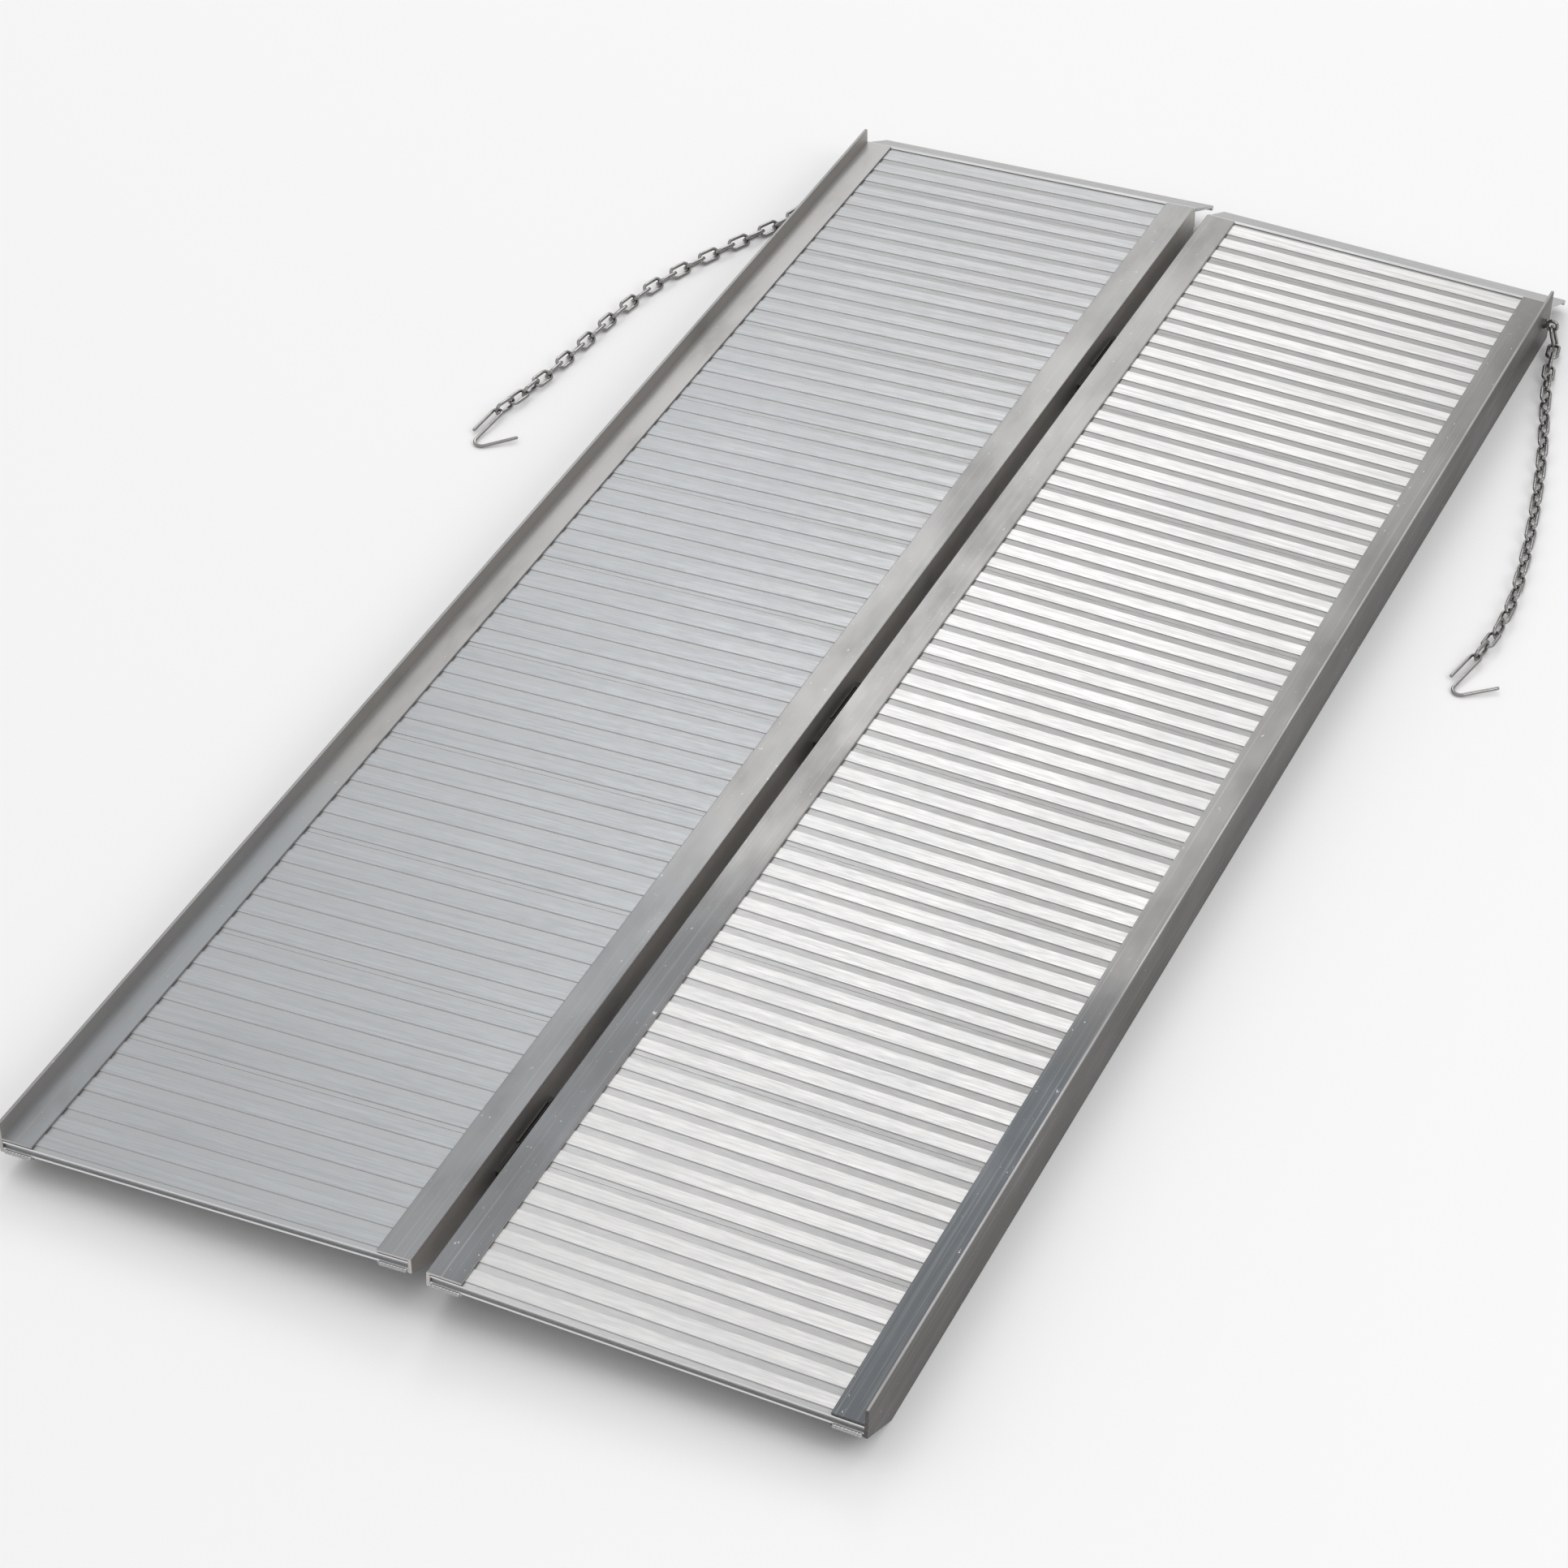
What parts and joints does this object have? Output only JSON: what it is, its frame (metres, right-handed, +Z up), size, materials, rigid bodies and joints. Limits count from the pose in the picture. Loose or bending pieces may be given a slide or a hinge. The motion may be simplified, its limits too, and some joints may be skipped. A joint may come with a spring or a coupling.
{
  "type": "folding wheelchair ramp",
  "caption": "Portable folding ramp: two ribbed-deck metal panels joined by a centre fold hinge, raised outer curbs, sloping top lips and a loose retaining chain with an open hook at each side.",
  "frame": {"origin": "bottom centre of the whole ramp as it lies open: x = 0 on the fold line, z = 0 on the floor, y = 0 halfway along", "axes": "+Z up, +Y along the ramp towards the lips (the upper end), +X to the right-hand panel when looking up the ramp"},
  "size_m": [1.0523, 1.8253, 0.0555],
  "materials": {
    "rail": "satin",
    "deck": "satin",
    "lip": "brushed",
    "weld": "gloss",
    "hinge": "satin",
    "pin_steel": "satin",
    "zinc_chain": "gloss",
    "zinc_hook": "gloss"
  },
  "bodies": {
    "left_panel": {"Hinge_Lower_Left_Leaf": "hinge", "Hinge_Middle_Left_Leaf": "hinge", "Hinge_Upper_Left_Leaf": "hinge", "Left_Chain_Eye": "zinc_chain", "Left_End_Plank": "deck", "Left_Hinge_Welds": "weld", "Left_Inner_Rail": "rail", "Left_Ledge_Welds": "weld", "Left_Lip": "lip", "Left_Outer_Rail": "rail", "Left_Plank_01": "deck", "Left_Plank_02": "deck", "Left_Plank_03": "deck", "Left_Plank_04": "deck", "Left_Plank_05": "deck", "Left_Plank_06": "deck", "Left_Plank_07": "deck", "Left_Plank_08": "deck", "Left_Plank_09": "deck", "Left_Plank_10": "deck", "Left_Plank_11": "deck", "Hinge_Lower_Pin": "pin_steel", "Hinge_Middle_Pin": "pin_steel", "Hinge_Upper_Pin": "pin_steel"},
    "right_panel": {"Hinge_Lower_Right_Leaf": "hinge", "Hinge_Middle_Right_Leaf": "hinge", "Hinge_Upper_Right_Leaf": "hinge", "Right_Chain_Eye": "zinc_chain", "Right_End_Plank": "deck", "Right_Hinge_Welds": "weld", "Right_Inner_Rail": "rail", "Right_Ledge_Welds": "weld", "Right_Lip": "lip", "Right_Outer_Rail": "rail", "Right_Plank_01": "deck", "Right_Plank_02": "deck", "Right_Plank_03": "deck", "Right_Plank_04": "deck", "Right_Plank_05": "deck", "Right_Plank_06": "deck", "Right_Plank_07": "deck", "Right_Plank_08": "deck", "Right_Plank_09": "deck", "Right_Plank_10": "deck", "Right_Plank_11": "deck"},
    "left_chain_1": {"Left_Chain_1": "zinc_chain"},
    "left_chain_2": {"Left_Chain_2": "zinc_chain"},
    "left_chain_3": {"Left_Chain_3": "zinc_chain"},
    "left_chain_4": {"Left_Chain_4": "zinc_chain"},
    "left_chain_5": {"Left_Chain_5": "zinc_chain"},
    "left_hook": {"Left_Hook": "zinc_hook"},
    "right_chain_1": {"Right_Chain_1": "zinc_chain"},
    "right_chain_2": {"Right_Chain_2": "zinc_chain"},
    "right_chain_3": {"Right_Chain_3": "zinc_chain"},
    "right_chain_4": {"Right_Chain_4": "zinc_chain"},
    "right_chain_5": {"Right_Chain_5": "zinc_chain"},
    "right_hook": {"Right_Hook": "zinc_hook"}
  },
  "joints": [
    {"name": "fold", "type": "hinge", "parent": "left_panel", "child": "right_panel", "pos_m": [0, 0, 0.0065], "axis": [0, 1, 0], "range_deg": [-18, 172]},
    {"name": "left_chain_1_swing", "type": "hinge", "parent": "left_panel", "child": "left_chain_1", "pos_m": [-0.38931, 0.8311, 0.02454], "axis": [0, 0, 1], "range_deg": [-30, 1]},
    {"name": "left_chain_2_swing", "type": "hinge", "parent": "left_chain_1", "child": "left_chain_2", "pos_m": [-0.41253, 0.72577, 0.00542], "axis": [0, 0, 1], "range_deg": [-20, 3]},
    {"name": "left_chain_3_swing", "type": "hinge", "parent": "left_chain_2", "child": "left_chain_3", "pos_m": [-0.46177, 0.61077, 0.00538], "axis": [0, 0, 1], "range_deg": [-20, 3]},
    {"name": "left_chain_4_swing", "type": "hinge", "parent": "left_chain_3", "child": "left_chain_4", "pos_m": [-0.49422, 0.4903, 0.00535], "axis": [0, 0, 1], "range_deg": [-20, 3]},
    {"name": "left_chain_5_swing", "type": "hinge", "parent": "left_chain_4", "child": "left_chain_5", "pos_m": [-0.5056, 0.36572, 0.00673], "axis": [0, 0, 1], "range_deg": [-20, 3]},
    {"name": "left_hook_swing", "type": "hinge", "parent": "left_chain_5", "child": "left_hook", "pos_m": [-0.5239, 0.26292, 0.00627], "axis": [0, 0, 1], "range_deg": [-20, 12]},
    {"name": "right_chain_1_swing", "type": "hinge", "parent": "right_panel", "child": "right_chain_1", "pos_m": [0.38931, 0.8246, 0.02454], "axis": [0, 0, 1], "range_deg": [-1, 30]},
    {"name": "right_chain_2_swing", "type": "hinge", "parent": "right_chain_1", "child": "right_chain_2", "pos_m": [0.41502, 0.71972, 0.00516], "axis": [0, 0, 1], "range_deg": [-3, 20]},
    {"name": "right_chain_3_swing", "type": "hinge", "parent": "right_chain_2", "child": "right_chain_3", "pos_m": [0.44762, 0.59994, 0.00556], "axis": [0, 0, 1], "range_deg": [-3, 20]},
    {"name": "right_chain_4_swing", "type": "hinge", "parent": "right_chain_3", "child": "right_chain_4", "pos_m": [0.47356, 0.47848, 0.00557], "axis": [0, 0, 1], "range_deg": [-3, 20]},
    {"name": "right_chain_5_swing", "type": "hinge", "parent": "right_chain_4", "child": "right_chain_5", "pos_m": [0.4916, 0.35558, 0.00598], "axis": [0, 0, 1], "range_deg": [-3, 20]},
    {"name": "right_hook_swing", "type": "hinge", "parent": "right_chain_5", "child": "right_hook", "pos_m": [0.48655, 0.27292, 0.00613], "axis": [0, 0, 1], "range_deg": [-12, 20]}
  ]
}
